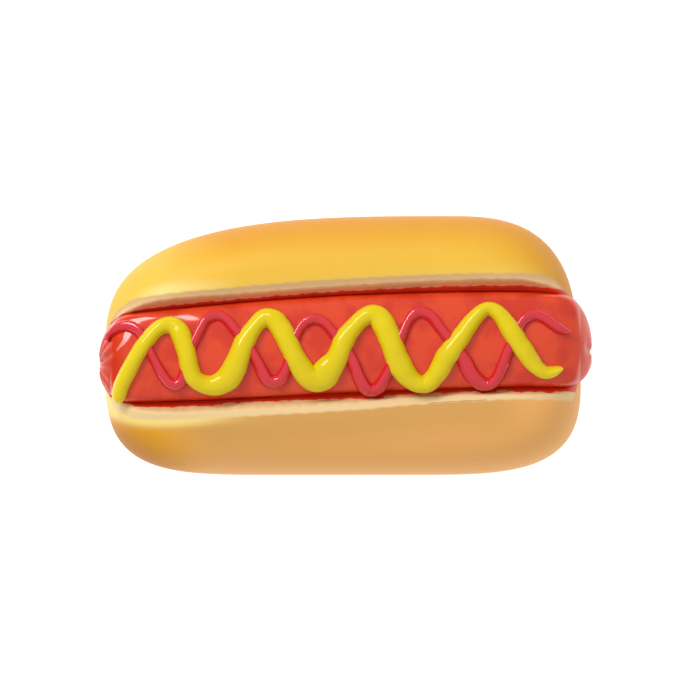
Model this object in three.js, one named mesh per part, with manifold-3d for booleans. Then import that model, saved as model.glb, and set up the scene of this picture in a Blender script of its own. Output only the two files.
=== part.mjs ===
// A small moulded plastic hot dog: a golden bun with one long open cut, a red sausage lying in it, and a
// zigzag of ketchup crossed by a zigzag of mustard on top. It lies on its flat back with the cut facing up.
// Millimetres. +X runs along the sausage, +Y across it, +Z out of the flat back.
import * as THREE from "three";
import { mergeVertices } from "three/addons/utils/BufferGeometryUtils.js";
import Module from "manifold-3d";

// Driving dimensions
const LENGTH = 40.2; // of the sausage, before its tips are dimpled
const HALF_LENGTH = LENGTH / 2;
const HALF_WIDTH = 10.55; // of the bun, across both halves
const CLEARANCE = 0.1; // between neighbouring pieces

// Bun
const BUN_LEFT = -19.6;
const BUN_RIGHT = 19.0;
const BELLY_Z = 3.8; // height at which the bun is widest
const CREST_Z = 8.8; // top of each half
const CREST_INSET = 0.4; // share of the way in from the rim to the middle line
const BACK_INSET = 0.15; // the flat back stops this share short of the rim
const TOP_INSET = 0.62; // where the uncut loaf's top is closed, inside the cut
const LENGTH_INSET = 0.49; // how much of that share counts along X
const ROLL_OFF = 0.4; // how fast the crust falls from its crest towards the cut

// Each quarter of the bun's plan outline is a superellipse about its own centre on the middle line.
// The slant draws its end in (or out, where negative) by this share of the distance from that line.
const QUARTERS = [
  { centre: 8.5, reach: BUN_RIGHT, power: 3.0, slant: 0.07 }, // upper right
  { centre: 8.5, reach: BUN_LEFT, power: 3.0, slant: 0.05 }, // upper left
  { centre: -5, reach: BUN_LEFT, power: 4.0, slant: 0 }, // lower left
  { centre: 5, reach: BUN_RIGHT, power: 3.6, slant: -0.07 }, // lower right
];

// Sausage
const SAUSAGE_Z = 5.2;
const SAUSAGE_R = 4.0;
const NOSE = 2.8; // length of the rounded end
const NOSE_POWER = 2.2;
const DIMPLE = 0.35; // depth of the puckered tip
const DIMPLE_R = 0.55;
const PLEATS = 8;
const PLEAT_DEPTH = 0.1; // share of the radius
const PLEAT_LENGTH = 3.2; // from the tip to where a pleat has run out
const TIP_HOLD = 0.5; // what lies against the sausage follows its nose to this far short of the tip
const axisY = through([[-20, -1.15], [-15, -0.85], [0, 0.1], [14, 0.5], [20, 0.25]]);

// Cut in the bun. Its half-widths at the gutter are measured from the sausage's axis.
const UPPER_HALF = [[-20, 2.4], [-18.5, 3.35], [-16, 4.0], [-9, 4.25], [0, 4.4], [14, 4.45], [18.5, 4.15]];
const LOWER_HALF = [[-20, 2.6], [-18.5, 3.6], [-16, 4.15], [-8, 4.35], [0, 4.5], [12, 4.5], [18.5, 4.3]];
const UPPER_CRUMB = [[-20, 0.9], [20, 0.93]]; // width of the torn crumb face, seen from above
const LOWER_CRUMB = [[-20, 1.05], [-8, 1.05], [12, 0.65], [20, 0.65]];
const GUTTER_MIN = 0.15; // the gutter is at least this much wider on each side than the hollow below it
const GUTTER_RISE = 0.7; // above the sausage's axis
const CRUMB_TOP_Z = 8.4; // nominal height of the crust's edge
const CUT_OVERRUN = 1.4; // past each end of the sausage
const CRAG = 0.12; // depth of the torn crumb's relief
const CRAG_WAVES = [[5.3, 0.5], [2.6, 0.35], [1.7, 0.3]]; // wavelength and share of the depth
const CRAG_LEAN = 1.3; // how far a wave shifts, in radians, for each millimetre up the face
const SMOOTH_FROM = 0.4; // share of the way up to the crust's edge where the relief starts to fade

// Piped sauces. A turn is the outermost point of the line's middle and the radius of its bend.
const MUSTARD = {
  start: [-18.5, -3.85],
  turns: [
    { x: -14.4, y: 1.75, bend: 1.35 },
    { x: -10.6, y: -3.15, bend: 1.6 },
    { x: -6.3, y: 2.25, bend: 1.15 },
    { x: -2.15, y: -2.75, bend: 1.2 },
    { x: 2.1, y: 2.45, bend: 1.2 },
    { x: 6.35, y: -3.0, bend: 1.45 },
    { x: 11.7, y: 2.9, bend: 1.05 },
    { x: 16.3, y: -2.2, bend: 1.2 },
  ],
  tip: [17.5, -1.8],
  half: [0.65, 0.7, 0.85, 0.8, 0.98, 0.82, 0.82, 0.65, 0.58, 0.25],
  height: 1.0,
  steps: 120,
  sides: 10,
};
const KETCHUP = {
  start: [-19.4, 0.35],
  turns: [
    { x: -17.45, y: 1.5, bend: 1.1 },
    { x: -13.9, y: -3.0, bend: 0.7 },
    { x: -10.3, y: 2.3, bend: 0.85 },
    { x: -5.9, y: -2.9, bend: 1.0 },
    { x: -2.3, y: 2.1, bend: 1.05 },
    { x: 2.3, y: -3.5, bend: 0.9 },
    { x: 6.1, y: 2.6, bend: 1.05 },
    { x: 11.55, y: -3.15, bend: 0.65 },
    { x: 15.3, y: 2.65, bend: 0.85 },
  ],
  tip: [18.0, 1.2],
  half: [0.4, 0.48, 0.52, 0.5, 0.55, 0.5, 0.55, 0.5, 0.52, 0.45, 0.25],
  height: 0.5,
  steps: 120,
  sides: 8,
};
const BEAD_MIDDLE = 0.3; // share of its height at which a bead is widest
const END_FACE = 0.03; // the small flat left at a bead's rounded ends, as a share of its half-width
const CROSSING_LIFT = 0.2; // how far the mustard rises over the ketchup
const CROSSING_REACH = 0.8;

// How finely each shape is divided
const LOAF_STEPS = { around: 80, under: 4, over: 7, inner: 5 };
const CUT_STEPS = { along: 44, round: 10, wall: 5 };
const SAUSAGE_STEPS = { around: 40, body: 22, nose: 8 };
const CROSSING_STEPS = 300;

const wasm = await Module();
wasm.setup();

// A smooth curve through a few chosen points, as a function of x.
function through(points) {
  const slope = points.map((p, i) => {
    const a = points[Math.max(i - 1, 0)];
    const b = points[Math.min(i + 1, points.length - 1)];
    return (b[1] - a[1]) / (b[0] - a[0]);
  });
  return (x) => {
    const within = THREE.MathUtils.clamp(x, points[0][0], points[points.length - 1][0]);
    const i = Math.max(points.findIndex((p) => p[0] >= within), 1);
    const [x0, y0] = points[i - 1];
    const [x1, y1] = points[i];
    const span = x1 - x0;
    const t = (within - x0) / span;
    const back = 1 - t;
    return (
      y0 * (1 + 2 * t) * back * back +
      slope[i - 1] * span * t * back * back +
      y1 * (3 - 2 * t) * t * t -
      slope[i] * span * back * t * t
    );
  };
}

// Joins closed rings of equal length into one closed surface, with a fan over the first and the last.
function loft(rings) {
  const count = rings[0].length;
  const middle = (ring) => ring.reduce((sum, p) => sum.add(p), new THREE.Vector3()).divideScalar(count);
  const points = [...rings.flat(), middle(rings[0]), middle(rings[rings.length - 1])];
  const firstHub = points.length - 2;
  const lastHub = points.length - 1;
  const faces = [];
  for (let k = 0; k < count; k++) {
    const next = (k + 1) % count;
    faces.push(firstHub, next, k);
    for (let i = 0; i + 1 < rings.length; i++) {
      const low = i * count;
      const high = low + count;
      faces.push(low + k, low + next, high + next, low + k, high + next, high + k);
    }
    const last = (rings.length - 1) * count;
    faces.push(lastHub, last + k, last + next);
  }
  return new THREE.BufferGeometry().setFromPoints(points).setIndex(faces);
}

function solidOf(geometry) {
  const bare = new THREE.BufferGeometry().setAttribute("position", geometry.getAttribute("position"));
  bare.setIndex(geometry.index);
  const merged = mergeVertices(bare, 1e-5);
  return new wasm.Manifold(
    new wasm.Mesh({
      numProp: 3,
      vertProperties: new Float32Array(merged.getAttribute("position").array),
      triVerts: new Uint32Array(merged.index.array),
    }),
  );
}

function geometryOf(solid) {
  const { numProp, numVert, vertProperties, triVerts } = solid.getMesh();
  const places = new Float32Array(numVert * 3);
  for (let i = 0; i < numVert; i++) places.set(vertProperties.subarray(i * numProp, i * numProp + 3), i * 3);
  const geometry = new THREE.BufferGeometry().setAttribute("position", new THREE.BufferAttribute(places, 3));
  geometry.setIndex(new THREE.BufferAttribute(new Uint32Array(triVerts), 1));
  geometry.computeVertexNormals();
  return geometry;
}

// One rounded quarter of the bun's plan outline; quarter 0 starts at the right-hand end.
class Corner extends THREE.Curve {
  constructor(quarter, number) {
    super();
    this.quarter = quarter;
    this.number = number;
  }

  getPoint(t, target = new THREE.Vector2()) {
    const { centre, reach, power, slant } = this.quarter;
    const angle = ((this.number + t) * Math.PI) / 2;
    const along = Math.abs(Math.cos(angle) / (reach - centre));
    const across = Math.abs(Math.sin(angle) / HALF_WIDTH);
    const radius = (along ** power + across ** power) ** (-1 / power);
    const x = centre + radius * Math.cos(angle);
    const y = radius * Math.sin(angle);
    const drawn = slant * Math.abs(y) * THREE.MathUtils.smoothstep(Math.abs(x), 0, HALF_LENGTH);
    return target.set(x - Math.sign(x) * drawn, y);
  }
}

// The four quarters, anticlockwise, with a straight side wherever two neighbours have different centres
function bunOutline() {
  const outline = new THREE.CurvePath();
  const corners = QUARTERS.map((quarter, number) => new Corner(quarter, number));
  corners.forEach((corner, number) => {
    const next = corners[(number + 1) % corners.length];
    outline.add(corner);
    outline.add(new THREE.LineCurve(corner.getPoint(1), next.getPoint(0)));
  });
  return outline;
}

// The loaf before it is cut: scaled copies of the outline, from the flat back round the belly to the crest.
function loafRings({ around, under, over, inner }) {
  const rim = bunOutline().getSpacedPoints(around).slice(0, around);
  const levels = [];
  for (let i = 0; i < under; i++) {
    const angle = (i / under) * (Math.PI / 2);
    levels.push([BACK_INSET * (1 - Math.sin(angle)), BELLY_Z * (1 - Math.cos(angle))]);
  }
  for (let i = 0; i <= over; i++) {
    const angle = (i / over) * (Math.PI / 2);
    levels.push([CREST_INSET * (1 - Math.cos(angle)), BELLY_Z + (CREST_Z - BELLY_Z) * Math.sin(angle)]);
  }
  for (let i = 1; i <= inner; i++) {
    const inset = THREE.MathUtils.lerp(CREST_INSET, TOP_INSET, i / inner);
    const inward = (inset - CREST_INSET) * HALF_WIDTH;
    levels.push([inset, Math.max(CREST_Z - ROLL_OFF * inward ** 2, SAUSAGE_Z + GUTTER_RISE)]);
  }
  return levels.map(([inset, z]) =>
    rim.map((p) => new THREE.Vector3(p.x * (1 - LENGTH_INSET * inset), p.y * (1 - inset), z)),
  );
}

// Radius of the sausage's body at x, without its pleats
function sausageRadius(x) {
  const into = (Math.abs(x) - (HALF_LENGTH - NOSE)) / NOSE;
  if (into <= 0) return SAUSAGE_R;
  return SAUSAGE_R * Math.max(1 - into ** NOSE_POWER, 0) ** (1 / NOSE_POWER);
}

// The same, held steady past a last x at either end
function heldRadius(x, rightmost) {
  return sausageRadius(THREE.MathUtils.clamp(x, TIP_HOLD - HALF_LENGTH, rightmost));
}

// Uneven relief of the torn crumb, the same each time: a few waves of unlike length.
function crag(x, z, seed) {
  const waves = CRAG_WAVES.map(([length, share], i) =>
    share * Math.sin((x * 2 * Math.PI) / length + (i + 1) * seed + z * CRAG_LEAN),
  );
  return CRAG * waves.reduce((sum, wave) => sum + wave);
}

// One torn face, from the gutter up past the crust's edge, which is half way up and runs smooth.
function tornFace(x, { gutterZ, half, crumb, side, steps }) {
  const points = [];
  for (let k = 0; k <= steps; k++) {
    const up = (2 * k) / steps;
    const z = THREE.MathUtils.lerp(gutterZ, CRUMB_TOP_Z, up);
    const rough = 1 - THREE.MathUtils.smoothstep(up, SMOOTH_FROM, 1);
    const out = half + up * crumb + rough * crag(x, z, side);
    points.push(new THREE.Vector3(x, axisY(x) + side * out, z));
  }
  return points;
}

// The space cut out of the loaf: round under the sausage, a narrow gutter, then the sloping torn faces.
function cutRings({ along, round, wall }) {
  const halves = [LOWER_HALF, UPPER_HALF].map(through);
  const crumbs = [LOWER_CRUMB, UPPER_CRUMB].map(through);
  const rings = [];
  for (let i = 0; i <= along; i++) {
    const even = (2 * i) / along - 1;
    const crowded = Math.sin((even * Math.PI) / 2); // closer together at both ends
    const x = ((even + crowded) / 2) * (HALF_LENGTH + CUT_OVERRUN);
    const hollow = heldRadius(x, 0) + CLEARANCE; // no narrower at the right, where the cut runs straight out
    const gutterZ = SAUSAGE_Z + (GUTTER_RISE * hollow) / SAUSAGE_R;
    const least = hollow + GUTTER_MIN;
    const [low, high] = [-1, 1].map((side, which) => {
      const half = Math.max(halves[which](x), least);
      return tornFace(x, { gutterZ, half, crumb: crumbs[which](x), side, steps: wall });
    });
    const floor = [];
    for (let k = 0; k <= round; k++) {
      const angle = Math.PI * (1 + k / round);
      const y = axisY(x) + hollow * Math.cos(angle);
      floor.push(new THREE.Vector3(x, y, SAUSAGE_Z + hollow * Math.sin(angle)));
    }
    rings.push([...low.reverse(), ...floor, ...high]);
  }
  return rings;
}

function bunGeometry() {
  const loaf = solidOf(loft(loafRings(LOAF_STEPS)));
  const cut = solidOf(loft(cutRings(CUT_STEPS)));
  return geometryOf(loaf.subtract(cut));
}

// The sausage: round sections along a slightly bent axis, with a dimple and pleats at each end.
function sausageGeometry({ around, body, nose }) {
  const profile = [];
  for (let i = 0; i < nose; i++) {
    const angle = ((i + 0.5) / nose) * (Math.PI / 2);
    const r = SAUSAGE_R * Math.sin(angle) ** (2 / NOSE_POWER);
    const out = HALF_LENGTH - NOSE + NOSE * Math.cos(angle) ** (2 / NOSE_POWER);
    profile.push([out - DIMPLE * Math.exp(-((r / DIMPLE_R) ** 2)), r]);
  }
  const left = profile.map(([x, r]) => [-x, r]);
  const straight = [];
  for (let i = 0; i <= body; i++) {
    straight.push([THREE.MathUtils.lerp(-1, 1, i / body) * (HALF_LENGTH - NOSE), SAUSAGE_R]);
  }
  const right = [...profile].reverse();
  const rings = [...left, ...straight, ...right].map(([x, r]) => {
    const toTip = HALF_LENGTH - Math.abs(x);
    const pucker = 1 - THREE.MathUtils.smoothstep(toTip, TIP_HOLD, PLEAT_LENGTH);
    const ring = [];
    for (let k = 0; k < around; k++) {
      const angle = (k / around) * 2 * Math.PI;
      const crease = (1 - Math.abs(Math.sin((PLEATS * angle) / 2 + Math.sin(angle + Math.sign(x))))) ** 2;
      const reach = r * (1 - PLEAT_DEPTH * pucker * crease);
      const y = axisY(x) + reach * Math.cos(angle);
      ring.push(new THREE.Vector3(x, y, SAUSAGE_Z + reach * Math.sin(angle)));
    }
    return ring;
  });
  return loft(rings);
}

// The middle line of a piped sauce in plan: straight runs between round bends, as a nozzle swung to and fro
// leaves it.
function pipedPath({ start, turns, tip }) {
  const bends = turns.map(({ x, y, bend }) => {
    const way = Math.sign(y); // a peak bends clockwise, a valley the other way
    return { centre: new THREE.Vector2(x, y - way * bend), bend, way };
  });
  // Angle, seen from the first centre, of the point where the straight run leaves it.
  const leaving = (from, to) => {
    const between = to.centre.clone().sub(from.centre);
    const spread = Math.acos((from.bend + to.bend) / between.length());
    return between.angle() + from.way * spread;
  };
  const path = new THREE.CurvePath();
  let at = new THREE.Vector2(...start);
  bends.forEach((bend, i) => {
    const before = bends[i - 1] ?? { centre: new THREE.Vector2(...start), bend: 0 };
    const after = bends[i + 1] ?? { centre: new THREE.Vector2(...tip), bend: 0 };
    const arriving = leaving({ ...bend, way: -bend.way }, before);
    const { x, y } = bend.centre;
    const clockwise = bend.way > 0;
    const arc = new THREE.EllipseCurve(x, y, bend.bend, bend.bend, arriving, leaving(bend, after), clockwise);
    path.add(new THREE.LineCurve(at, arc.getPoint(0)));
    path.add(arc);
    at = arc.getPoint(1);
  });
  path.add(new THREE.LineCurve(at, new THREE.Vector2(...tip)));
  return path;
}

// Half-width along the line, from the start over each turn to the tip
function widthAt(sauce, path) {
  const total = path.getLength();
  const ends = path.getCurveLengths(); // a straight run, then a bend, and so on
  const middles = sauce.turns.map((_, i) => (ends[2 * i] + ends[2 * i + 1]) / 2);
  const stops = [0, ...middles, total];
  return through(sauce.half.map((half, i) => [stops[i] / total, half]));
}

// A rounded bead laid along the sausage. Where grown is 0 its underside keeps clear of the sausage's skin;
// otherwise it is a thicker bead that cuts room for itself out of what lies over it.
function beadGeometry(sauce, lift = () => 0, grown = 0) {
  const path = pipedPath(sauce);
  const half = widthAt(sauce, path);
  const total = path.getLength();
  const skin = (x) => heldRadius(x, HALF_LENGTH - TIP_HOLD);
  const lines = path.getSpacedPoints(sauce.steps).map((p) => {
    const above = skin(p.x) + sauce.height * BEAD_MIDDLE + lift(p);
    const across = THREE.MathUtils.clamp(p.y - axisY(p.x), -above, above);
    return new THREE.Vector3(p.x, p.y, SAUSAGE_Z + Math.sqrt(above ** 2 - across ** 2));
  });
  const rings = lines.map((middle, i) => {
    const share = i / sauce.steps;
    const wide = half(share) + grown;
    const tall = sauce.height * (1 - BEAD_MIDDLE) + grown;
    const fromEnd = Math.min(Math.min(share, 1 - share) * (total / wide) + END_FACE, 1);
    const round = Math.sqrt(1 - (1 - fromEnd) ** 2);
    const along = lines[Math.min(i + 1, sauce.steps)].clone().sub(lines[Math.max(i - 1, 0)]).normalize();
    const outward = new THREE.Vector3(0, middle.y - axisY(middle.x), middle.z - SAUSAGE_Z).normalize();
    const across = outward.cross(along).normalize();
    const up = along.clone().cross(across);
    const ring = [];
    for (let k = 0; k < sauce.sides; k++) {
      const angle = ((k + 0.5) / sauce.sides) * 2 * Math.PI;
      const p = middle.clone().addScaledVector(across, wide * round * Math.cos(angle));
      p.addScaledVector(up, tall * round * Math.sin(angle));
      const y = p.y - axisY(p.x);
      const z = p.z - SAUSAGE_Z;
      const clear = (skin(p.x) + CLEARANCE) / Math.hypot(y, z);
      if (!grown && clear > 1) p.set(p.x, axisY(p.x) + y * clear, SAUSAGE_Z + z * clear);
      ring.push(p);
    }
    return ring;
  });
  return loft(rings);
}

// How far the mustard is lifted where it passes over the ketchup
function liftOver(sauce) {
  const below = pipedPath(sauce).getSpacedPoints(CROSSING_STEPS);
  return (p) => {
    const nearest = Math.min(...below.map((q) => q.distanceTo(p)));
    return CROSSING_LIFT * Math.exp(-((nearest / CROSSING_REACH) ** 2));
  };
}

function mustardGeometry() {
  const bead = solidOf(beadGeometry(MUSTARD, liftOver(KETCHUP)));
  return geometryOf(bead.subtract(solidOf(beadGeometry(KETCHUP, () => 0, CLEARANCE))));
}

function piece(name, geometry, color, roughness) {
  const mesh = new THREE.Mesh(geometry, new THREE.MeshStandardMaterial({ color, roughness, metalness: 0 }));
  mesh.name = name;
  return mesh;
}

const hotDog = new THREE.Group();
hotDog.add(
  piece("bun", bunGeometry(), "#e0ad5f", 0.55),
  piece("sausage", sausageGeometry(SAUSAGE_STEPS), "#d1452c", 0.3),
  piece("ketchup", beadGeometry(KETCHUP), "#cc2222", 0.25),
  piece("mustard", mustardGeometry(), "#dfc410", 0.3),
);
export default hotDog;
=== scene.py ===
"""A small moulded plastic hot dog, about 40 mm long: a satin golden bun with one long torn cut, a glossy red
sausage in it, and a zigzag of ketchup crossed by a zigzag of mustard. It lies on its flat back, cut side up.

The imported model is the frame: +X along the sausage, +Y across it, +Z out of the flat back, in metres.
Shapes are worked out in millimetres and put into the scene in metres."""

import math

import bpy
import numpy as np
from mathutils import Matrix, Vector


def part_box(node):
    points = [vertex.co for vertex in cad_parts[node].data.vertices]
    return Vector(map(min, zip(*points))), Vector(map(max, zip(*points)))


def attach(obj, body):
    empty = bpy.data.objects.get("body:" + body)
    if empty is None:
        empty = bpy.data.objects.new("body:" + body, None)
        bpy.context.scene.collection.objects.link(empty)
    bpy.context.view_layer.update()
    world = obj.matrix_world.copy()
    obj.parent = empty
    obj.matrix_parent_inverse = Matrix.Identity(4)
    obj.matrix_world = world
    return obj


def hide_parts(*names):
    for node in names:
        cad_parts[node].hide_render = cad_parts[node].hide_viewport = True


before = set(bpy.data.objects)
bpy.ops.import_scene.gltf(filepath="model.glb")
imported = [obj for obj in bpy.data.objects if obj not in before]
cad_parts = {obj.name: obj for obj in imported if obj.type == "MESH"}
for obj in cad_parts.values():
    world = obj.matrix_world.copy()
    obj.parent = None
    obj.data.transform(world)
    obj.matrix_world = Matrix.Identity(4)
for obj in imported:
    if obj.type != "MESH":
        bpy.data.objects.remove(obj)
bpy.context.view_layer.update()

# The bun. One satin plastic moulding with a flat back: a long loaf with a torn cut along it for the sausage.
# The crust is gold above the cut and tan below, the tan partly painted shade, airbrushed darker at its upper
# rim and lower left corner, and paler by the torn faces, partly with a painted highlight at the upper left.
# The torn faces are cream and craggy, the upper one warmer with painted light, and the narrow gutter beside
# the sausage is painted dark glossy red, darker down in the gutter as painted shade.
MM = 0.001
_, bun_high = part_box("bun")
HALF_WIDTH, CREST_Z = bun_high[1] / MM, bun_high[2] / MM
BUN_LEFT, BUN_RIGHT = -19.6, 19.0
BELLY_Z = 3.8  # height at which the bun is widest
CREST_INSET = 0.4  # share of the way in from the rim to the middle line
BACK_INSET = 0.15  # the same for the edge of the flat back
LENGTH_INSET = 0.49  # how much of that way the ends go in, as against the sides
ROLL_OFF = 0.12  # how fast the crust would fall away inside its crest
EDGE_ROUND = 0.5  # softness of the crust's edge, where crust meets torn face
RIM_POINTS = 860
NO_CUT = 5.0  # stands for a place on the flank, well away from the cut
QUARTERS = [  # centre, reach, power and slant of each rounded corner, anticlockwise from the upper right
    (8.5, BUN_RIGHT, 3.0, 0.07),
    (8.5, BUN_LEFT, 3.0, 0.05),
    (-5.0, BUN_LEFT, 4.0, 0.0),
    (5.0, BUN_RIGHT, 3.6, -0.07),
]
SAUSAGE_Z, SAUSAGE_R = 5.2, 4.0
HALF_LENGTH = 20.1
LEFT_SHIFT, RIGHT_SHIFT = 0.45, 0.9  # how far each tip of the sausage lies below its middle line
NOSE, NOSE_POWER = 2.8, 2.2  # length and bluntness of each end of the sausage
TIP_HOLD = 0.5  # the cut keeps its width this near to each tip
BITE = 0.1  # how far the sausage sinks into the bun's plastic
GUTTER_RISE, GUTTER_DIP, GUTTER_MIN = 2.5, 0.5, 0.15  # height above the sausage's middle, fall, least width
FACE_BULGE, CRAG_DEPTH = 0.25, 0.07  # as shares of a torn face's height and width
SPILLS = [(-17.5, -9.9), (0.5, 3.2), (10.6, 12.3), (13.4, 17.0)]  # paint strayed up the lower torn face
SPILL_WIDTH = 0.12
SPRAY_REACH, BROWN_REACH = 2.9, 2.2  # how far the sprayed colours reach in from the rim
PALE_WIDTH = 1.6  # of the pale crust next to the torn faces
DULL_WIDTH = 4.5  # of the dull crust below the cut
# The tan below the cut is partly two-tone paint and partly painted shade on the side turned from the window.
CRUST_GOLD, CRUST_TAN_SHADED = (0.87, 0.53, 0.05), (0.85, 0.42, 0.12)
# The pale crust colour is partly lighter paint and partly a painted highlight.
CRUST_DULL, CRUST_PALE_HIGHLIGHT, CRUST_CORNER = (0.64, 0.33, 0.085), (0.93, 0.71, 0.22), (0.78, 0.36, 0.010)
RIM_ORANGE, RIM_BROWN = (0.70, 0.29, 0.015), (0.50, 0.17, 0.012)
# The upper torn face carries painted light: warmer than the lower one for warm bounced light, and going from
# darker by the crust to lighter down by the groove, against the groove's shade.
CRUMB_WARM_LIT, CRUMB_NEAR_CRUST, CRUMB_CREAM = (0.84, 0.53, 0.26), (0.63, 0.40, 0.18), (0.80, 0.58, 0.285)
# The deeper red down in the gutter is painted shade.
PAINT_RED, PAINT_SHADED = (0.84, 0.065, 0.022), (0.66, 0.035, 0.012)
CRUST_ROUGHNESS, PAINT_ROUGHNESS, BUN_SHINE = 0.5, 0.22, 0.25


def through(points):
    """A smooth curve through a few chosen points, as a function of x."""
    xs, ys = np.array(points, float).T
    slopes = np.empty_like(ys)
    slopes[1:-1] = (ys[2:] - ys[:-2]) / (xs[2:] - xs[:-2])
    slopes[0] = (ys[1] - ys[0]) / (xs[1] - xs[0])
    slopes[-1] = (ys[-1] - ys[-2]) / (xs[-1] - xs[-2])

    def curve(x):
        x = np.clip(x, xs[0], xs[-1])
        i = np.clip(np.searchsorted(xs, x) - 1, 0, len(xs) - 2)
        span = xs[i + 1] - xs[i]
        t = (x - xs[i]) / span
        back = 1 - t
        return (
            ys[i] * (1 + 2 * t) * back**2
            + slopes[i] * span * t * back**2
            + ys[i + 1] * (3 - 2 * t) * t**2
            - slopes[i + 1] * span * back * t**2
        )

    return curve


def smoothstep(low, high, value):
    """0 to 1 as a value goes from low to high, where low may also be the greater of the two."""
    t = np.clip((value - low) / (high - low), 0, 1)
    return t * t * (3 - 2 * t)


def waves(seed, lengths, *where):
    """Uneven relief between about -1 and 1, the same each run: crossed waves of unlike length."""
    rng = np.random.default_rng(seed)
    total = 0
    for length in lengths:
        turn = rng.uniform(0, 2 * math.pi, len(where) + 1)
        reach = rng.uniform(0.75, 1.25, len(where)) * 2 * math.pi / length
        ripple = sum(np.sin(axis * k + phase) for axis, k, phase in zip(where, reach, turn))
        total = total + np.sin(ripple * 1.4 + turn[-1])
    return total / len(lengths)


# The cut in plan: the sausage's middle line and half-width, how far out from that line each gutter reaches,
# how wide each torn face is past it, and the height at which the torn faces would end.
axis_y = through([(-20, -1.15), (-15, -0.85), (0, 0.1), (14, 0.5), (20, 0.25)])
sausage_half = through([(-20, 3.65), (-17, 3.7), (-10, 3.92), (0, 4.02), (10, 3.97), (17, 3.87), (20, 3.8)])
upper_gutter = through(
    [(-20, 2.4), (-18.5, 3.35), (-16, 4.0), (-9, 4.25), (0, 4.4), (14, 4.45), (18.5, 4.15)]
)
lower_gutter = through(
    [(-20, 2.6), (-18.5, 3.5), (-16, 4.05), (-8, 4.3), (0, 4.48), (6, 4.35), (12, 4.25), (18.5, 4.2)]
)
upper_crumb = through([(-20, 0.9), (20, 0.93)])
lower_crumb = through([(-20, 1.05), (-8, 1.05), (12, 0.65), (20, 0.65)])
crumb_top = through(
    [
        (-19.5, 6.6), (-18.5, 8.2), (-16.8, 9.6), (-14.5, 10.05),
        (14.5, 10.05), (16.8, 9.5), (18, 8.2), (19, 6.7),
    ]
)


def nose_radius(x, leftmost, rightmost):
    """Radius of the sausage at x, held steady beyond the two ends given."""
    into = (np.abs(np.clip(x, leftmost, rightmost)) - (HALF_LENGTH - NOSE)) / NOSE
    return SAUSAGE_R * np.maximum(1 - np.maximum(into, 0) ** NOSE_POWER, 0) ** (1 / NOSE_POWER)


def tip_shift(x, tip):
    """How far the sausage's middle dips towards a tip, where tip goes from 0 at the body to 1."""
    return tip * np.where(x < 0, LEFT_SHIFT, RIGHT_SHIFT)


def cut_profile(x, y):
    """Height of the cut's surface over the plan, and how far out from the sausage, from the gutter and from
    the crust's edge a point lies."""
    across = y - axis_y(x)
    upper = across > 0
    size = nose_radius(x, TIP_HOLD - HALF_LENGTH, HALF_LENGTH - TIP_HOLD) / SAUSAGE_R
    hollow = size * sausage_half(x) - BITE - tip_shift(x, 1 - size) * np.sign(across)
    gutter_z = SAUSAGE_Z + GUTTER_RISE * size
    gutter = np.maximum(np.where(upper, upper_gutter(x), lower_gutter(x)), hollow + GUTTER_MIN)
    crumb = np.where(upper, upper_crumb(x), lower_crumb(x))
    out = np.abs(across) - gutter
    up = out / crumb
    crags = 0.6 * waves(11, (2.6, 1.4), x, 0.6 * y) + 0.4 * waves(12, (1.5, 0.8), x, 0.4 * y)
    torn = smoothstep(-0.1, 0.2, up) * (1 - smoothstep(0.75, 1.0, up))
    up = up + CRAG_DEPTH * torn * crags
    bulge = np.clip(up, 0, 1)
    face = gutter_z + (up + FACE_BULGE * bulge * (1 - bulge)) * np.maximum(crumb_top(x) - gutter_z, 0.3)
    ledge = gutter_z - GUTTER_DIP * (gutter - np.abs(across)) / (gutter - hollow)
    floor = SAUSAGE_Z - np.sqrt(np.maximum(hollow**2 - across**2, 0))
    height = np.where(np.abs(across) < hollow, floor, np.where(out < 0, ledge, face))
    return height, np.abs(across) - hollow, out, out - crumb


def bun_rim(count):
    """The bun's plan outline, evenly spaced, anticlockwise from the right-hand end."""
    points = []
    for number, (centre, reach, power, slant) in enumerate(QUARTERS):
        angle = (number + np.linspace(0, 1, 600)) * math.pi / 2
        along = np.abs(np.cos(angle) / (reach - centre))
        across = np.abs(np.sin(angle) / HALF_WIDTH)
        radius = (along**power + across**power) ** (-1 / power)
        x, y = centre + radius * np.cos(angle), radius * np.sin(angle)
        drawn = slant * np.abs(y) * smoothstep(0, HALF_LENGTH, np.abs(x))
        points.append(np.stack([x - np.sign(x) * drawn, y], 1))
    rim = np.concatenate([*points, points[0][:1]])
    length = np.concatenate([[0], np.cumsum(np.linalg.norm(np.diff(rim, axis=0), axis=1))])
    even = np.linspace(0, length[-1], count, endpoint=False)
    return np.stack([np.interp(even, length, rim[:, k]) for k in (0, 1)], 1)


def rings_to_mesh(name, rings, masks=None):
    """A mesh over rings of points, as rows x columns x 3 in millimetres, with a fan over each end."""
    rows, columns = rings.shape[:2]
    points = rings.reshape(-1, 3)
    row, column = np.meshgrid(np.arange(rows - 1), np.arange(columns), indexing="ij")
    low, following = row * columns, (column + 1) % columns
    quads = np.stack([low + column, low + following, low + columns + following, low + columns + column], -1)
    faces = quads.reshape(-1, 4).tolist()
    hubs = [rings[0].mean(0), rings[-1].mean(0)]
    last = (rows - 1) * columns
    for k in range(columns):
        after = (k + 1) % columns
        faces.append([len(points), after, k])
        faces.append([len(points) + 1, last + k, last + after])
    points = np.concatenate([points, hubs])
    mesh = bpy.data.meshes.new(name)
    mesh.from_pydata((points * MM).tolist(), [], faces)
    mesh.shade_smooth()
    for mask, values in (masks or {}).items():
        values = np.concatenate([values.ravel(), [values[0].mean(), values[-1].mean()]])
        layer = mesh.attributes.new(mask, "FLOAT", "POINT")
        layer.data.foreach_set("value", values.astype(np.float32))
    piece = bpy.data.objects.new(name, mesh)
    bpy.context.scene.collection.objects.link(piece)
    return piece


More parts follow.
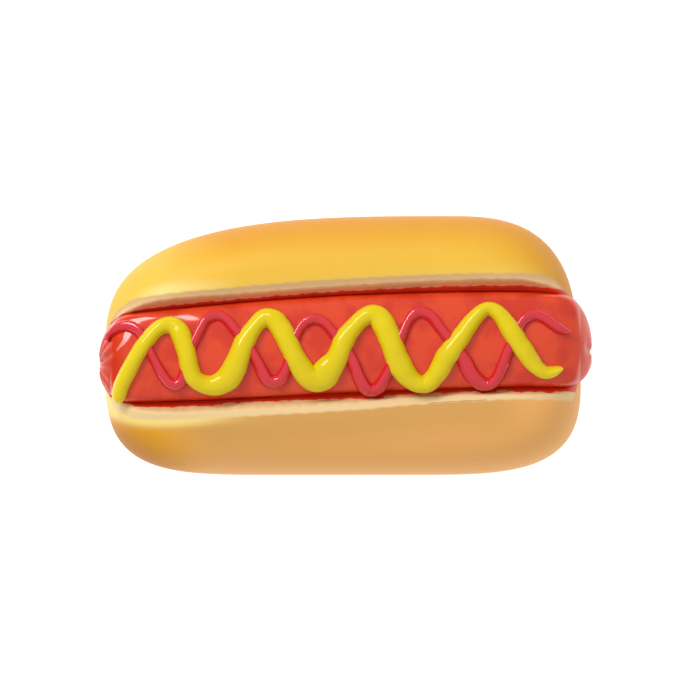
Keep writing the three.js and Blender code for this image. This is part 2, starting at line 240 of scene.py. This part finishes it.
def soft_lower(a, b, width):
    """The lower of two heights, with a rounded edge where they cross."""
    share = np.clip(0.5 + 0.5 * (b - a) / width, 0, 1)
    return b * (1 - share) + a * share - width * share * (1 - share)


def first_inside(distance, insets):
    """The inset at which each column of distances first falls below nought."""
    inside = np.argmax(distance < 0, axis=0)
    before = np.maximum(inside - 1, 0)
    column = np.arange(distance.shape[1])
    outer, inner = distance[before, column], distance[inside, column]
    share = np.where(inside > 0, outer / np.maximum(outer - inner, 1e-9), 0)
    return insets[before] + share * (insets[1] - insets[0])


def bun_rings():
    """Rings round the loaf from the middle of its flat back, up its flank and over its crest into the cut,
    with how far the cut would stand over the crust at each point. Some rings run along the crust's edge, the
    gutter and the sausage, so that those edges are clean."""
    rim = bun_rim(RIM_POINTS)
    innermost = 0.98

    def inward(inset):
        return rim[:, 0] * (1 - LENGTH_INSET * inset), rim[:, 1] * (1 - inset)

    rings = []
    for share in np.linspace(0.05, 1, 4):
        back_x, back_y = inward(1 - share * (1 - BACK_INSET))
        rings.append(np.column_stack([back_x, back_y, np.zeros(RIM_POINTS)]))
    open_height = np.minimum(cut_profile(*rim.T)[0], BELLY_Z)
    notch = np.arccos(1 - open_height / BELLY_Z)  # the flank ends lower down where the cut leaves the bun
    for share in np.linspace(0, 1, 13)[1:-1]:
        flank_x, flank_y = inward(BACK_INSET * (1 - np.sin(share * notch)))
        rings.append(np.column_stack([flank_x, flank_y, BELLY_Z * (1 - np.cos(share * notch))]))
    over_crust = [np.full(RIM_POINTS, NO_CUT)] * len(rings)

    tries = np.linspace(0, innermost, 900)
    _, *distances = cut_profile(*inward(tries[:, None]))
    sausage_at, gutter_at, edge_at = (first_inside(distance, tries) for distance in distances)
    start = BACK_INSET * (1 - np.sin(notch))
    edge_at = np.maximum(edge_at, start + 0.06)
    gutter_at = np.maximum(gutter_at, edge_at + 0.02)
    sausage_at = np.maximum(sausage_at, gutter_at + 0.01)
    over_crest = (1 - np.cos(np.linspace(0, math.pi / 2, 34)))[:-1]
    beside_edge = [0.96, 0.975, 0.985, 0.993, 1.0, 1.007]  # closer together, where the crust turns down
    insets = [start + (edge_at - start) * share for share in sorted([*over_crest, *beside_edge])]
    for outer, inner, count in (
        (edge_at, gutter_at, 18),
        (gutter_at, sausage_at, 7),
        (sausage_at, innermost, 7),
    ):
        insets += [outer + (inner - outer) * share for share in np.linspace(0, 1, count + 1)[1:]]

    for inset in insets:
        x, y = inward(inset)
        lean = np.clip(1 - inset / CREST_INSET, 0, 1)
        dome = BELLY_Z + (CREST_Z - BELLY_Z) * np.sqrt(np.maximum(1 - lean**2, 0))
        past_crest = np.maximum(inset - CREST_INSET, 0) * HALF_WIDTH
        least = np.where(past_crest > 0, SAUSAGE_Z + GUTTER_RISE, 0)
        crust = np.maximum(dome - ROLL_OFF * past_crest**2, least)
        cut = cut_profile(x, y)[0]
        rings.append(np.column_stack([x, y, soft_lower(crust, cut, EDGE_ROUND)]))
        over_crust.append(cut - crust)
    return np.array(rings), np.array(over_crust)


def bun_masks(surface, over_crust):
    """How far past the red paint and past the crumb each point of the loaf is, in millimetres, and from 0 to
    1 which side of the cut it is on, how much of each sprayed colour it takes, and how much of the pale
    crust, which is partly a painted highlight."""
    x, y = surface[..., 0], surface[..., 1]
    _, _, from_gutter, from_edge = cut_profile(x, y)
    lower_side = smoothstep(-0.5, 0.5, axis_y(x) - y)
    upper_side = 1 - lower_side
    leftward = smoothstep(-8, -18, x)
    spill = sum(smoothstep(a, a + 0.5, x) * (1 - smoothstep(b - 0.15, b, x)) for a, b in SPILLS)
    strayed = SPILL_WIDTH * spill * lower_side + 0.06 * waves(21, (3.1, 1.3), x) - 0.05
    uneven_edge = from_edge + 0.05 * waves(22, (3.7, 1.7), x)
    past_end = over_crust - np.maximum(crumb_top(x) - CREST_Z, 0) - 1.2  # the crust closes round each end
    rim = surface[np.argmax(over_crust[:, 0] < NO_CUT)]
    from_rim = np.hypot(*(rim - surface)[..., :2].transpose(2, 0, 1))
    sprayed = np.exp(-((from_rim / SPRAY_REACH) ** 1.2)) * upper_side * (1 - 0.7 * leftward)
    browned = np.exp(-((from_rim / BROWN_REACH) ** 1.4)) * smoothstep(-9, -17, x) * smoothstep(-4.5, -7.5, y)
    dulled = smoothstep(DULL_WIDTH, 0.0, from_edge) * lower_side
    dulled = dulled * smoothstep(-18, -10, x) * smoothstep(17, 11, x)
    # Paler crust next to the torn faces: partly lighter paint, partly a painted highlight, strongest at the
    # upper left.
    pale_highlit = smoothstep(PALE_WIDTH - 0.5 * lower_side, 0.0, from_edge)
    pale_highlit = pale_highlit * np.maximum(0.25 * upper_side, smoothstep(-5, -15, x))
    pale_highlit = np.maximum(pale_highlit, 0.35 * leftward * upper_side)
    pale_highlit = pale_highlit * np.maximum(lower_side, smoothstep(-19.0, -14.0, x))
    return {
        "past_paint": np.maximum(from_gutter - strayed, past_end),
        "past_crumb": np.maximum(uneven_edge, past_end),
        "lower_side": lower_side,
        "sprayed": sprayed,
        "cornered": smoothstep(-9, -17.5, x) * smoothstep(-5.2, -7.5, y),
        "dulled": dulled,
        "browned": browned,
        "pale_highlit": pale_highlit,
    }


def plastic(piece, name, colour, roughness):
    """A plastic finish on a piece. Gives back its node tree and its shader."""
    material = bpy.data.materials.new(name)
    material.use_nodes = True
    piece.data.materials.append(material)
    shader = material.node_tree.nodes["Principled BSDF"]
    shader.inputs["Base Color"].default_value = (*colour, 1)
    shader.inputs["Roughness"].default_value = roughness
    return material.node_tree, shader


def grain(tree, size, detail=3.0):
    """Uneven cloudiness about 0, with patches of a size given in millimetres."""
    place = tree.nodes.new("ShaderNodeTexCoord")
    noise = tree.nodes.new("ShaderNodeTexNoise")
    noise.inputs["Scale"].default_value = 1 / (size * MM)
    noise.inputs["Detail"].default_value = detail
    tree.links.new(place.outputs["Object"], noise.inputs["Vector"])
    centred = tree.nodes.new("ShaderNodeMath")
    centred.operation = "SUBTRACT"
    centred.inputs[1].default_value = 0.5
    tree.links.new(noise.outputs["Fac"], centred.inputs[0])
    return centred.outputs[0]


def graded(tree, value, low, high, start=0.0, end=1.0, kind="SMOOTHSTEP"):
    """A value that goes from start to end while another goes from low to high."""
    step = tree.nodes.new("ShaderNodeMapRange")
    step.interpolation_type = kind
    step.inputs["From Min"].default_value = low
    step.inputs["From Max"].default_value = high
    step.inputs["To Min"].default_value = start
    step.inputs["To Max"].default_value = end
    tree.links.new(value, step.inputs["Value"])
    return step.outputs["Result"]


def masked(tree, mask, low, high, rough=None, depth=0.0):
    """0 to 1 as a mask on the mesh goes from low to high, its edge made ragged by some grain."""
    read = tree.nodes.new("ShaderNodeAttribute")
    read.attribute_name = mask
    value = read.outputs["Fac"]
    if rough is not None:
        ragged = tree.nodes.new("ShaderNodeMath")
        ragged.operation = "MULTIPLY_ADD"
        ragged.inputs[1].default_value = depth
        tree.links.new(rough, ragged.inputs[0])
        tree.links.new(value, ragged.inputs[2])
        value = ragged.outputs[0]
    return graded(tree, value, low, high)


def blended(tree, share, start, end):
    """A colour between two, each a fixed colour or another blend."""
    mix = tree.nodes.new("ShaderNodeMix")
    mix.data_type = "RGBA"
    tree.links.new(share, mix.inputs["Factor"])
    for socket, colour in ((mix.inputs["A"], start), (mix.inputs["B"], end)):
        if isinstance(colour, tuple):
            socket.default_value = (*colour, 1)
        else:
            tree.links.new(colour, socket)
    return mix.outputs["Result"]


bun_surface, bun_over_crust = bun_rings()
bun = rings_to_mesh("bun_moulding", bun_surface, bun_masks(bun_surface, bun_over_crust))
bun_tree, bun_shader = plastic(bun, "satin crust", CRUST_GOLD, CRUST_ROUGHNESS)
bun_shader.inputs["Specular IOR Level"].default_value = BUN_SHINE
fine, cloud = grain(bun_tree, 0.6, 5.0), grain(bun_tree, 2.5)
# Gold above the cut, darker tan below: partly two-tone paint, partly painted shade on the lower side.
lower = masked(bun_tree, "lower_side", 0.3, 0.7)
crust = blended(bun_tree, lower, CRUST_GOLD, CRUST_TAN_SHADED)
for mask, full, raggedness, colour in (
    ("dulled", 1.0, 0.05, CRUST_DULL),
    ("cornered", 1.0, 0.1, CRUST_CORNER),
    ("pale_highlit", 1.0, 0.1, CRUST_PALE_HIGHLIGHT),
    ("sprayed", 1.0, 0.1, RIM_ORANGE),
    ("browned", 1.3, 0.1, RIM_BROWN),
):
    crust = blended(bun_tree, masked(bun_tree, mask, 0.0, full, cloud, raggedness), crust, colour)
# Painted light on the upper torn face: darker next to the crust, lighter and warmer towards the shaded
# groove.
near_crust_share = masked(bun_tree, "past_crumb", -0.8, -0.1)
crumb = blended(bun_tree, lower, blended(bun_tree, near_crust_share, CRUMB_WARM_LIT, CRUMB_NEAR_CRUST), CRUMB_CREAM)
on_crust = masked(bun_tree, "past_crumb", -0.1, 0.14, fine, 0.03)
# The red paint goes darker down in the gutter: painted shade.
paint = blended(bun_tree, masked(bun_tree, "past_paint", -0.25, -0.02), PAINT_SHADED, PAINT_RED)
off_paint = masked(bun_tree, "past_paint", -0.02, 0.03, fine, 0.06)
bun_colour = blended(bun_tree, off_paint, paint, blended(bun_tree, on_crust, crumb, crust))
bun_dulling = graded(bun_tree, off_paint, 0.0, 1.0, PAINT_ROUGHNESS, CRUST_ROUGHNESS, "LINEAR")
bun_tree.links.new(bun_colour, bun_shader.inputs["Base Color"])
bun_tree.links.new(bun_dulling, bun_shader.inputs["Roughness"])
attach(bun, "root")
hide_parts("bun")

# The sausage. A glossy red plastic moulding that fills the cut and shows from its waist up. Both ends are
# blunt and drawn in to a puckered tip a little below the middle line, with creases moulded in round the tip.
# The left tip is deeply creased, the right one only notched.
SAUSAGE_RED, SAUSAGE_DEEP, PUCKER_RED = (0.75, 0.056, 0.010), (0.64, 0.030, 0.005), (0.62, 0.035, 0.008)
SAUSAGE_ROUGHNESS, TIP_ROUGHNESS = 0.1, 0.36
SAUSAGE_SHINE, PUCKER_SHINE = 0.55, 0.12
SWELLINGS = [(-19.2, -0.6, 0.75, 1.3), (-11.6, 1.8, 0.20, 1.7)]  # middle, height and reach of each
ARCH_R = 10.0  # of the flat arch across its top
SHOULDER, TIP_SHOULDER = 30, 2.4  # tightness of the arch's shoulders, on the body and at the tips
LEFT_DOME, RIGHT_DOME, DOME_POWER = 14.5, 13.5, 3.2  # where its back starts to fall away towards each tip
FUNNEL, FUNNEL_R = 0.35, 0.5  # depth and radius of the small pit at each tip
LEFT_CREASES = [  # angle about the tip from +Y towards +Z, depth, half-width in degrees, and length
    (82, 0.34, 7, 3.3),
    (40, 0.14, 8, 2.8),
    (62, 0.18, 7, 3.0),
    (106, 0.14, 8, 3.0),
    (130, 0.16, 8, 2.8),
    (154, 0.12, 10, 2.6),
    (180, 0.14, 10, 2.4),
    (218, 0.14, 10, 1.8),
    (268, 0.30, 10, 2.4),
    (318, 0.14, 10, 1.8),
]
RIGHT_CREASES = [(92, 0.24, 16, 2.4), (150, 0.06, 14, 1.2), (268, 0.30, 16, 1.2), (30, 0.05, 14, 1.2)]


def skin_height(x, share, size):
    """Height of the skin above the sausage's middle, at a share of the half-width from its middle line."""
    arc = SAUSAGE_R - ARCH_R + np.sqrt(ARCH_R**2 - (share * sausage_half(x)) ** 2)
    power = TIP_SHOULDER + (SHOULDER - TIP_SHOULDER) * smoothstep(0.8, 1.0, size)
    into_nose = np.maximum(1 - size**NOSE_POWER, 0) ** (1 / NOSE_POWER)
    reach = np.where(size < 1, HALF_LENGTH - NOSE * (1 - into_nose), np.abs(x))
    dome_from = np.where(x < 0, LEFT_DOME, RIGHT_DOME)
    fall = np.clip((reach - dome_from) / (HALF_LENGTH - dome_from), 0, 1) ** DOME_POWER
    return np.sqrt(1 - fall) * arc * np.maximum(1 - np.abs(share) ** power, 0) ** 0.4


def sausage_swelling(x, y):
    """Height of the low swellings of the skin over the plan."""
    total = 0
    for middle_x, middle_y, tall, reach in SWELLINGS:
        total = total + tall * np.exp(-((x - middle_x) ** 2 + (y - middle_y) ** 2) / reach**2)
    return total


def crease_depth(angle, from_tip, creases):
    """How deep the skin is creased at angles about the tip, at one distance from the tip."""
    total = 0
    for at, depth, half_width, length in creases:
        apart = (angle - math.radians(at) + math.pi) % (2 * math.pi) - math.pi
        fade = smoothstep(0, 0.5, from_tip) * (1 - smoothstep(0.6 * length, length, from_tip))
        total = total + depth * fade * np.exp(-((apart / math.radians(half_width)) ** 2))
    return total


def sausage_rings(columns, nose_rows, body_rows):
    """Rings along the sausage, from its left tip to its right one."""
    turn = (np.arange(nose_rows) + 0.5) / nose_rows * math.pi / 2
    radius = SAUSAGE_R * np.sin(turn) ** (2 / NOSE_POWER)
    out = NOSE * np.cos(turn) ** (2 / NOSE_POWER)
    facing = np.stack(
        [
            out ** (NOSE_POWER - 1) / NOSE**NOSE_POWER,
            radius ** (NOSE_POWER - 1) / SAUSAGE_R**NOSE_POWER,
        ]
    )
    facing /= np.linalg.norm(facing, axis=0)
    angle = np.arange(columns) / columns * 2 * math.pi
    ends = []
    for side, creases in ((-1, LEFT_CREASES), (1, RIGHT_CREASES)):
        end = []
        for ring_r, ring_out, (end_on, radial) in zip(radius, out, facing.T):
            run = HALF_LENGTH - NOSE + ring_out - FUNNEL * math.exp(-((ring_r / FUNNEL_R) ** 2))
            dent = crease_depth(angle, math.hypot(ring_r * 0.75, NOSE - ring_out), creases)
            end.append((side * (run - end_on * dent), ring_r - radial * dent, 1 - ring_r / SAUSAGE_R))
        ends.append(end)
    left, right = ends[0], ends[1][::-1]
    straight = np.linspace(-1, 1, body_rows + 2)[1:-1] * (HALF_LENGTH - NOSE)
    body = [(np.full(columns, x), np.full(columns, SAUSAGE_R), 0.0) for x in straight]
    rings = []
    for x, ring_r, tip in [*left, *body, *right]:
        x = np.broadcast_to(x, angle.shape)
        wavy = 1 + 0.002 * waves(31, (7.0, 3.7), x, 4 * np.cos(angle), 4 * np.sin(angle))
        across = ring_r / SAUSAGE_R * sausage_half(x) * wavy * np.cos(angle)
        y = axis_y(x) - tip_shift(x, tip) + across
        skin = skin_height(x, np.cos(angle), 1 - tip) * ring_r / (SAUSAGE_R * (1 - tip))
        skin = skin + smoothstep(0, 0.6, 1 - tip) * sausage_swelling(x, y) * np.sin(angle)
        z = SAUSAGE_Z + np.where(np.sin(angle) > 0, skin, ring_r * np.sin(angle))
        rings.append(np.column_stack([x, y, z]))
    return np.array(rings)


sausage_surface = sausage_rings(columns=200, nose_rows=84, body_rows=176)
sausage_x, sausage_y = sausage_surface[..., 0], sausage_surface[..., 1]
tipward = np.maximum(smoothstep(15.5, 19, sausage_x), 0.4 * smoothstep(-18, -19.5, sausage_x))
puckered = smoothstep(-17.0, -19.2, sausage_x) * smoothstep(1.2, 0.2, sausage_y)
sausage = rings_to_mesh("sausage_moulding", sausage_surface, {"tipward": tipward, "puckered": puckered})
sausage_tree, sausage_shader = plastic(sausage, "glossy sausage red", SAUSAGE_RED, SAUSAGE_ROUGHNESS)
sausage_cloud = graded(sausage_tree, grain(sausage_tree, 2.4), -0.12, 0.1)
sausage_colour = blended(sausage_tree, sausage_cloud, SAUSAGE_DEEP, SAUSAGE_RED)
in_pucker = masked(sausage_tree, "puckered", 0.0, 1.0)
sausage_colour = blended(sausage_tree, in_pucker, sausage_colour, PUCKER_RED)
sausage_shine = graded(sausage_tree, in_pucker, 0.0, 1.0, SAUSAGE_SHINE, PUCKER_SHINE, "LINEAR")
near_tip = masked(sausage_tree, "tipward", 0.0, 1.0)
sausage_dulling = graded(sausage_tree, near_tip, 0.0, 1.0, SAUSAGE_ROUGHNESS, TIP_ROUGHNESS, "LINEAR")
sausage_tree.links.new(sausage_colour, sausage_shader.inputs["Base Color"])
sausage_tree.links.new(sausage_shine, sausage_shader.inputs["Specular IOR Level"])
sausage_tree.links.new(sausage_dulling, sausage_shader.inputs["Roughness"])
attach(sausage, "root")
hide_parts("sausage")

# The ketchup. A thin bead of crimson plastic on the sausage, shaped as if piped to and fro: narrow arches
# above, fatter loops below, and a fine tail near the right end. It leans to the left of its run all along,
# so that a ridge runs near that edge and a gentler slope falls to the other.
KETCHUP_RED, KETCHUP_ROUGHNESS, KETCHUP_SHINE = (0.68, 0.010, 0.022), 0.1, 0.85
KETCHUP_TALL = 0.68
KETCHUP_LEAN = 0.30  # as a share of its half-width
KETCHUP_WAIST = 0.06  # height at which it is widest, as a share of its whole height
KETCHUP_LINE = [  # way points of the middle line in plan, each with the bead's half-width there
    (-19.3, 0.3, 0.14), (-18.95, 0.9, 0.28), (-18.3, 1.4, 0.42), (-17.5, 1.5, 0.46), (-16.75, 1.05, 0.42),
    (-16.2, 0.1, 0.40), (-15.3, -1.6, 0.44), (-14.7, -2.6, 0.47), (-14.2, -3.1, 0.52),
    (-13.7, -3.2, 0.54), (-13.2, -2.8, 0.52), (-12.6, -0.6, 0.44), (-11.7, 1.3, 0.44),
    (-11.2, 2.05, 0.44), (-10.45, 2.38, 0.44), (-9.75, 2.1, 0.44), (-9.15, 1.45, 0.44),
    (-7.75, -0.3, 0.46), (-7.1, -1.4, 0.50), (-6.7, -2.25, 0.54), (-6.3, -2.8, 0.57),
    (-5.75, -2.97, 0.58), (-5.2, -2.75, 0.56), (-4.85, -2.1, 0.50), (-4.6, -1.4, 0.46),
    (-3.85, 1.0, 0.44), (-3.3, 1.75, 0.44), (-2.5, 2.08, 0.45), (-1.75, 1.8, 0.45), (-1.1, 1.1, 0.45),
    (0.2, -0.6, 0.50), (0.65, -1.5, 0.54), (1.1, -2.6, 0.58), (1.55, -3.35, 0.60), (2.15, -3.62, 0.60),
    (2.75, -3.35, 0.58), (3.15, -2.75, 0.54), (3.6, -1.9, 0.48), (4.7, 1.0, 0.46), (5.3, 2.15, 0.46),
    (6.05, 2.65, 0.48), (6.9, 2.3, 0.47), (7.6, 1.45, 0.46), (9.0, -0.3, 0.52), (9.6, -1.2, 0.64),
    (10.1, -2.2, 0.70), (10.75, -2.9, 0.64), (11.3, -3.15, 0.58), (11.85, -3.05, 0.54),
    (12.35, -2.55, 0.52), (12.8, -1.6, 0.54), (13.2, -0.5, 0.50), (14.3, 1.8, 0.46), (14.8, 2.25, 0.46),
    (15.4, 2.4, 0.46), (16.0, 2.2, 0.46), (16.6, 1.8, 0.46), (17.3, 1.35, 0.44), (17.75, 1.12, 0.30),
    (18.1, 1.08, 0.15),
]


def piped(way_points, count):
    """A smooth line through way points, evenly spaced, and the half-width along it."""
    points = np.array(way_points)
    steps = np.linalg.norm(np.diff(points[:, :2], axis=0), axis=1)
    at = np.concatenate([[0], np.cumsum(steps)])
    fine = np.linspace(0, at[-1], 4 * count)
    x, y, half = (through(list(zip(at, points[:, k])))(fine) for k in range(3))
    length = np.concatenate([[0], np.cumsum(np.hypot(np.diff(x), np.diff(y)))])
    even = np.linspace(0, length[-1], count)
    evenly = np.stack([np.interp(even, length, x), np.interp(even, length, y)], 1)
    return evenly, np.interp(even, length, half)


def sausage_top(x, y):
    """Height of the sausage's skin over the plan, and which way the skin faces there, seen along it."""
    size = nose_radius(x, TIP_HOLD - HALF_LENGTH, HALF_LENGTH - TIP_HOLD) / SAUSAGE_R
    across = y - axis_y(x) + tip_shift(x, 1 - size)
    share = np.clip(across / (size * sausage_half(x)), -0.93, 0.93)
    lean = share * sausage_half(x) / ARCH_R
    height = SAUSAGE_Z + skin_height(x, share, size) + np.sqrt(1 - share**2) * sausage_swelling(x, y)
    return height, np.stack([0 * x, lean, np.sqrt(1 - lean**2)], -1)


def bead_rings(line, half, tall, lift, lean, waist, blunt, sides, seed):
    """Rings along a bead on the sausage: widest at its waist, sunk a little into the skin, round-ended."""
    length = np.concatenate([[0], np.cumsum(np.linalg.norm(np.diff(line, axis=0), axis=1))])
    half = half * (1 + 0.04 * waves(seed, (4.1, 1.9), length))
    z, outward = sausage_top(line[:, 0], line[:, 1])
    middle = np.column_stack([line, z + lift])
    along = np.gradient(middle, axis=0)
    along /= np.linalg.norm(along, axis=1)[:, None]
    sideways = np.cross(outward, along)
    sideways /= np.linalg.norm(sideways, axis=1)[:, None]
    up = np.cross(along, sideways)
    from_end = np.clip(np.minimum(length, length[-1] - length) / half + 0.02, 0, 1)
    rounding = (1 - (1 - from_end) ** blunt) ** (1 / blunt)
    height = tall * (1 + 0.04 * waves(seed + 1, (5.3, 2.3), length))
    rings = []
    for angle in np.arange(sides) / sides * 2 * math.pi:
        side = math.cos(angle) + lean * math.sin(angle)
        rise = waist + (1 - waist) * math.sin(angle)
        reach = middle + sideways * (half * rounding * side)[:, None]
        rings.append(reach + up * (height * rounding * rise)[:, None])
    return np.stack(rings, 1)


ketchup_line, ketchup_half = piped(KETCHUP_LINE, 760)
ketchup_rings = bead_rings(
    ketchup_line,
    ketchup_half,
    tall=KETCHUP_TALL,
    lift=0.0,
    lean=KETCHUP_LEAN,
    waist=KETCHUP_WAIST,
    blunt=2,
    sides=36,
    seed=41,
)
ketchup = rings_to_mesh("ketchup_bead", ketchup_rings)
ketchup_tree, ketchup_shader = plastic(ketchup, "glossy ketchup crimson", KETCHUP_RED, KETCHUP_ROUGHNESS)
ketchup_shader.inputs["Specular IOR Level"].default_value = KETCHUP_SHINE
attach(ketchup, "root")
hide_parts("ketchup")

# The mustard. A fat bead of yellow plastic shaped the same way on top of the ketchup, wider in its falling
# runs and lower bends than in its rising ones. It starts blunt at the lower left, rises a little wherever it
# crosses the ketchup, and ends in a curled tail.
MUSTARD_YELLOW, MUSTARD_ROUGHNESS, MUSTARD_SHINE = (0.76, 0.58, 0.002), 0.14, 0.35
MUSTARD_TALL = 0.95
MUSTARD_WAIST = 0.16
CROSSING_LIFT, CROSSING_REACH = 0.12, 1.7  # how much it rises at a crossing, and how far along
MUSTARD_LINE = [
    (-18.45, -4.3, 0.60), (-18.15, -3.2, 0.66), (-17.55, -2.0, 0.67), (-16.9, -0.8, 0.64),
    (-16.25, 0.15, 0.65), (-15.5, 1.05, 0.64), (-14.85, 1.5, 0.65), (-14.2, 1.6, 0.73),
    (-13.72, 1.4, 0.78), (-13.33, 0.85, 0.83), (-13.05, 0.05, 0.81), (-12.83, -0.8, 0.78),
    (-12.65, -1.7, 0.77), (-12.3, -2.55, 0.74), (-11.65, -3.03, 0.75), (-10.95, -3.2, 0.82),
    (-10.25, -3.08, 0.93), (-9.5, -2.6, 1.03), (-8.95, -1.7, 0.98), (-8.55, -0.7, 0.88),
    (-8.15, 0.3, 0.85), (-7.35, 1.5, 0.70), (-6.85, 2.0, 0.75), (-6.4, 2.2, 0.79), (-5.75, 2.0, 0.85),
    (-5.35, 1.55, 0.87), (-5.0, 1.0, 0.88), (-4.55, 0.05, 0.85), (-4.15, -0.8, 0.84), (-3.75, -1.5, 0.88),
    (-3.1, -2.4, 0.96), (-2.4, -2.72, 1.05), (-1.85, -2.5, 1.16), (-1.45, -2.0, 1.17),
    (-0.75, -1.1, 0.92), (-0.4, -0.35, 0.85), (-0.1, 0.45, 0.88), (0.45, 1.2, 0.75), (1.25, 2.05, 0.73),
    (2.0, 2.45, 0.80), (2.6, 2.3, 0.90), (3.0, 1.85, 0.96), (3.5, 0.85, 0.94), (3.82, 0.0, 0.93),
    (4.1, -0.8, 0.95), (4.45, -1.6, 0.98), (5.0, -2.4, 0.89), (5.6, -2.9, 0.77), (6.15, -3.08, 0.72),
    (6.7, -3.0, 0.77), (7.3, -2.4, 0.80), (7.75, -1.7, 0.85), (8.1, -1.0, 0.88), (8.5, -0.5, 0.88),
    (9.0, 0.2, 0.80), (9.45, 0.8, 0.78), (10.0, 1.6, 0.72), (10.55, 2.25, 0.65), (11.1, 2.75, 0.60),
    (11.6, 2.92, 0.57), (12.15, 2.75, 0.62), (12.65, 2.3, 0.68), (13.15, 1.6, 0.78), (13.55, 1.0, 0.82),
    (14.0, 0.3, 0.79), (14.5, -0.4, 0.79), (15.05, -1.2, 0.74), (15.65, -1.85, 0.63), (16.2, -2.13, 0.55),
    (16.8, -2.08, 0.44), (17.2, -1.90, 0.30), (17.5, -1.75, 0.16),
]

mustard_line, mustard_half = piped(MUSTARD_LINE, 860)
to_ketchup = np.linalg.norm(mustard_line[:, None] - ketchup_line[None], axis=2).min(1)
mustard_rings = bead_rings(
    mustard_line,
    mustard_half,
    tall=MUSTARD_TALL,
    lift=CROSSING_LIFT * np.exp(-((to_ketchup / CROSSING_REACH) ** 2)),
    lean=0.0,
    waist=MUSTARD_WAIST,
    blunt=2.6,
    sides=40,
    seed=51,
)
mustard = rings_to_mesh("mustard_bead", mustard_rings)
mustard_tree, mustard_shader = plastic(mustard, "glossy mustard yellow", MUSTARD_YELLOW, MUSTARD_ROUGHNESS)
mustard_shader.inputs["Specular IOR Level"].default_value = MUSTARD_SHINE
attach(mustard, "root")
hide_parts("mustard")

# The setting. A pale floor that glows a little, as on a light table, and a bright window-shaped softbox half
# way up at the upper left. The surround is brightest overhead and dims towards the horizon, most of all at
# the back. The camera looks straight down from a metre, through a long lens.
FLOOR_REACH, FLOOR_GREY, FLOOR_GLOW = 4, 0.5, 0.85
WINDOW_PLACE = (-0.171, 0.219, 0.288)
WINDOW_WIDE, WINDOW_HIGH, WINDOW_POWER = 0.254, 0.10, 0.93
SURROUND_LOW, SURROUND_HIGH = 0.3, 0.70
CAMERA_PLACE = (0.37 * MM, -0.37 * MM, 1.0018)

floor_mesh = bpy.data.meshes.new("floor")
floor_corners = [
    (-FLOOR_REACH, -FLOOR_REACH, 0),
    (FLOOR_REACH, -FLOOR_REACH, 0),
    (FLOOR_REACH, FLOOR_REACH, 0),
    (-FLOOR_REACH, FLOOR_REACH, 0),
]
floor_mesh.from_pydata(floor_corners, [], [(0, 1, 2, 3)])
floor = bpy.data.objects.new("floor", floor_mesh)
bpy.context.scene.collection.objects.link(floor)
floor_tree, floor_shader = plastic(floor, "pale matt floor", (FLOOR_GREY, FLOOR_GREY, FLOOR_GREY), 0.9)
floor_shader.inputs["Emission Color"].default_value = (1, 1, 1, 1)
floor_shader.inputs["Emission Strength"].default_value = FLOOR_GLOW

window_light = bpy.data.lights.new("window softbox", "AREA")
window_light.shape = "RECTANGLE"
window_light.size, window_light.size_y = WINDOW_WIDE, WINDOW_HIGH
window_light.energy = WINDOW_POWER
window = bpy.data.objects.new("window softbox", window_light)
window.location = WINDOW_PLACE
window.rotation_euler = (-window.location).to_track_quat("-Z", "Y").to_euler()
bpy.context.scene.collection.objects.link(window)

world = bpy.data.worlds.new("surround")
world.use_nodes = True
sky = world.node_tree
direction = sky.nodes.new("ShaderNodeTexCoord")
slope = sky.nodes.new("ShaderNodeVectorMath")
slope.operation = "DOT_PRODUCT"
slope.inputs[1].default_value = (0, -0.2, 1)
sky.links.new(direction.outputs["Generated"], slope.inputs[0])
strength = graded(sky, slope.outputs["Value"], 0.0, 0.6, SURROUND_LOW, SURROUND_HIGH)
sky.links.new(strength, sky.nodes["Background"].inputs["Strength"])
sky.nodes["Background"].inputs["Color"].default_value = (1, 1, 1, 1)
bpy.context.scene.world = world
bpy.context.scene.view_settings.view_transform = "Standard"

lens = bpy.data.cameras.new("camera")
lens.lens, lens.sensor_width = 630, 36
lens.clip_start, lens.clip_end = 0.01, 20
camera = bpy.data.objects.new("camera", lens)
camera.location = CAMERA_PLACE
bpy.context.scene.collection.objects.link(camera)
bpy.context.scene.camera = camera
